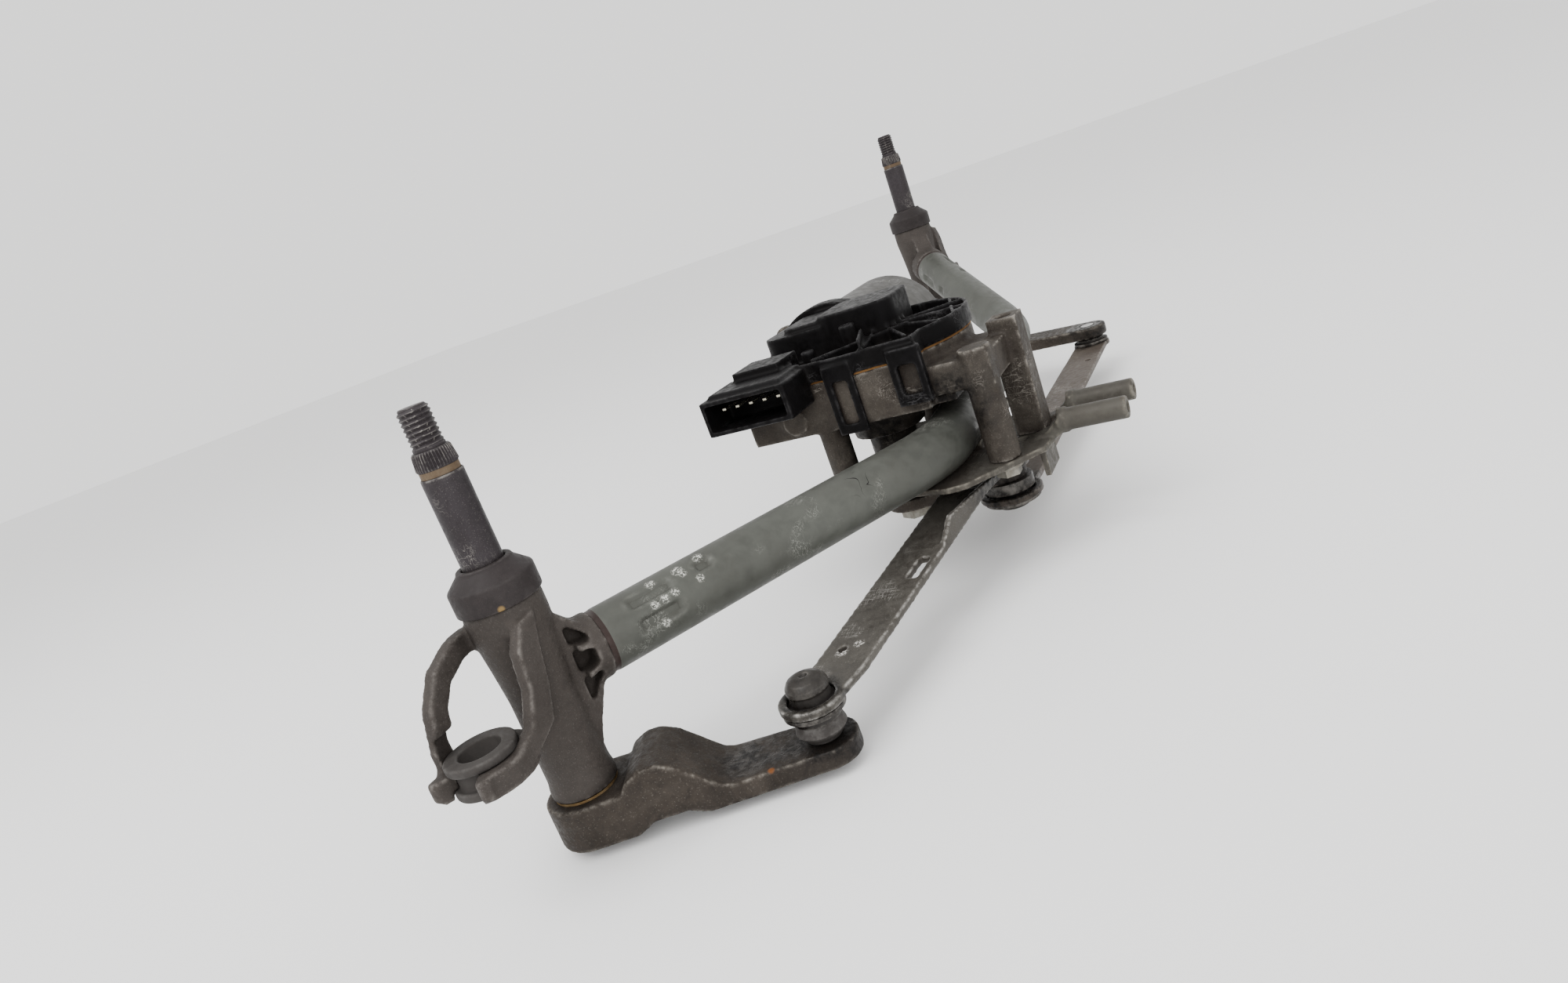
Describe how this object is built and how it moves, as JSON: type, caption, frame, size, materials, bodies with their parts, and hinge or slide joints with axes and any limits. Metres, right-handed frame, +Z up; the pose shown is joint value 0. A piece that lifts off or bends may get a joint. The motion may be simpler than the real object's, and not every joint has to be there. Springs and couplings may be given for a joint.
{
  "type": "windshield wiper linkage",
  "caption": "Windshield wiper linkage: bent tube frame, two cast pivots with threaded shafts, ball-jointed cranks and rods, and a worm-gear motor on a welded plate.",
  "frame": {"origin": "centre of the near mounting grommet bore, at mid height", "axes": "+X from the near pivot to the far pivot, +Z up along the wiper shafts, +Y away from the cranks"},
  "size_m": [0.5484, 0.1725, 0.1845],
  "materials": {
    "galvanised_tube": "dull zinc grey",
    "galvanised_bracket": "dull zinc with rust",
    "cast_housing": "rough die-cast, dirty",
    "gear_casting": "rough die-cast, dirty",
    "soft_rubber": "matte",
    "cap_plastic": "matte",
    "sintered_bronze": "oiled",
    "zinc_fastener": "zinc",
    "cover_plastic": "satin",
    "gasket_cork": "matte",
    "tinned_copper": "bright",
    "board_green": "satin",
    "can_steel": "satin grey",
    "ferrite": "matte",
    "laminate_plate": "matte",
    "carbon": "matte",
    "shaft_steel": "dark satin",
    "forged_steel": "greasy forged",
    "polished_steel": "bright",
    "gear_nylon": "greased",
    "socket_plastic": "greasy",
    "near_strip_steel": "scuffed",
    "far_strip_steel": "dull",
    "core_steel": "lacquered",
    "copper_bars": "bright",
    "copper_wire": "varnished"
  },
  "bodies": {
    "frame": {"frame_tube": "galvanised_tube", "near_pivot_housing": "cast_housing", "far_pivot_housing": "cast_housing", "near_grommet": "soft_rubber", "far_grommet": "soft_rubber", "near_dust_cap": "cap_plastic", "far_dust_cap": "cap_plastic", "near_upper_bush": "sintered_bronze", "near_lower_bush": "sintered_bronze", "far_upper_bush": "sintered_bronze", "far_lower_bush": "sintered_bronze", "near_shaft_seal": "soft_rubber", "far_shaft_seal": "soft_rubber", "motor_bracket": "galvanised_bracket", "bracket_screws": "zinc_fastener", "gear_housing": "gear_casting", "cover_gasket": "gasket_cork", "gear_cover": "cover_plastic", "connector_pins": "tinned_copper", "cover_screws": "zinc_fastener", "output_bush": "sintered_bronze", "circuit_board": "board_green", "front_bearing": "sintered_bronze", "rear_bearing": "sintered_bronze", "motor_can": "can_steel", "field_magnets": "ferrite", "brush_plate": "laminate_plate", "brushes": "carbon", "can_screws": "zinc_fastener"},
    "near_crank": {"near_shaft": "shaft_steel", "near_crank_lever": "forged_steel", "near_ball_stud": "polished_steel", "near_thrust_washer": "sintered_bronze", "near_circlip": "zinc_fastener"},
    "far_crank": {"far_shaft": "shaft_steel", "far_crank_lever": "forged_steel", "far_ball_stud": "polished_steel", "far_thrust_washer": "sintered_bronze", "far_circlip": "zinc_fastener"},
    "motor_crank": {"worm_wheel": "gear_nylon", "output_shaft": "shaft_steel", "motor_crank_arm": "forged_steel", "crank_nut": "zinc_fastener", "crank_ball_stud": "polished_steel", "near_rod_spool": "socket_plastic", "far_rod_spool": "socket_plastic", "park_magnet": "ferrite"},
    "near_rod": {"near_rod_bar": "near_strip_steel", "near_rod_socket": "socket_plastic", "near_rod_boot": "soft_rubber"},
    "far_rod": {"far_rod_bar": "far_strip_steel", "far_rod_socket": "socket_plastic", "far_rod_boot": "soft_rubber"},
    "armature": {"armature_shaft": "shaft_steel", "armature_core": "core_steel", "commutator": "copper_bars", "armature_windings": "copper_wire"}
  },
  "joints": [
    {"name": "armature_spin", "type": "hinge", "parent": "frame", "child": "armature", "pos_m": [0.2, -0.0261, 0.0355], "axis": [1, 0, 0], "range_deg": [-3000, 1200]},
    {"name": "motor_crank_turn", "type": "hinge", "parent": "frame", "child": "motor_crank", "pos_m": [0.218, -0.058, 0], "axis": [0, 0, 1], "range_deg": [-50.1, 20.1]},
    {"name": "near_pivot_turn", "type": "hinge", "parent": "frame", "child": "near_crank", "pos_m": [0.03, 0, 0], "axis": [0, 0, 1], "range_deg": [-28.86, 11.6]},
    {"name": "near_rod_turn", "type": "hinge", "parent": "near_crank", "child": "near_rod", "pos_m": [0.064, -0.07, -0.027], "axis": [0, 0, 1], "range_deg": [-13.21, 32.87]},
    {"name": "far_pivot_turn", "type": "hinge", "parent": "frame", "child": "far_crank", "pos_m": [0.492, 0, 0], "axis": [0, 0, 1], "range_deg": [-21.25, 8.56]},
    {"name": "far_rod_turn", "type": "hinge", "parent": "far_crank", "child": "far_rod", "pos_m": [0.474, -0.099, -0.029], "axis": [0, 0, 1], "range_deg": [-9.6, 23.84]}
  ],
  "couplings": [
    {"joint": "motor_crank_turn", "follows": "armature_spin", "ratio": 0.016667},
    {"joint": "near_pivot_turn", "follows": "armature_spin", "ratio": 0.0095867},
    {"joint": "near_rod_turn", "follows": "armature_spin", "ratio": -0.010922},
    {"joint": "far_pivot_turn", "follows": "armature_spin", "ratio": 0.00705},
    {"joint": "far_rod_turn", "follows": "armature_spin", "ratio": -0.0079133}
  ]
}
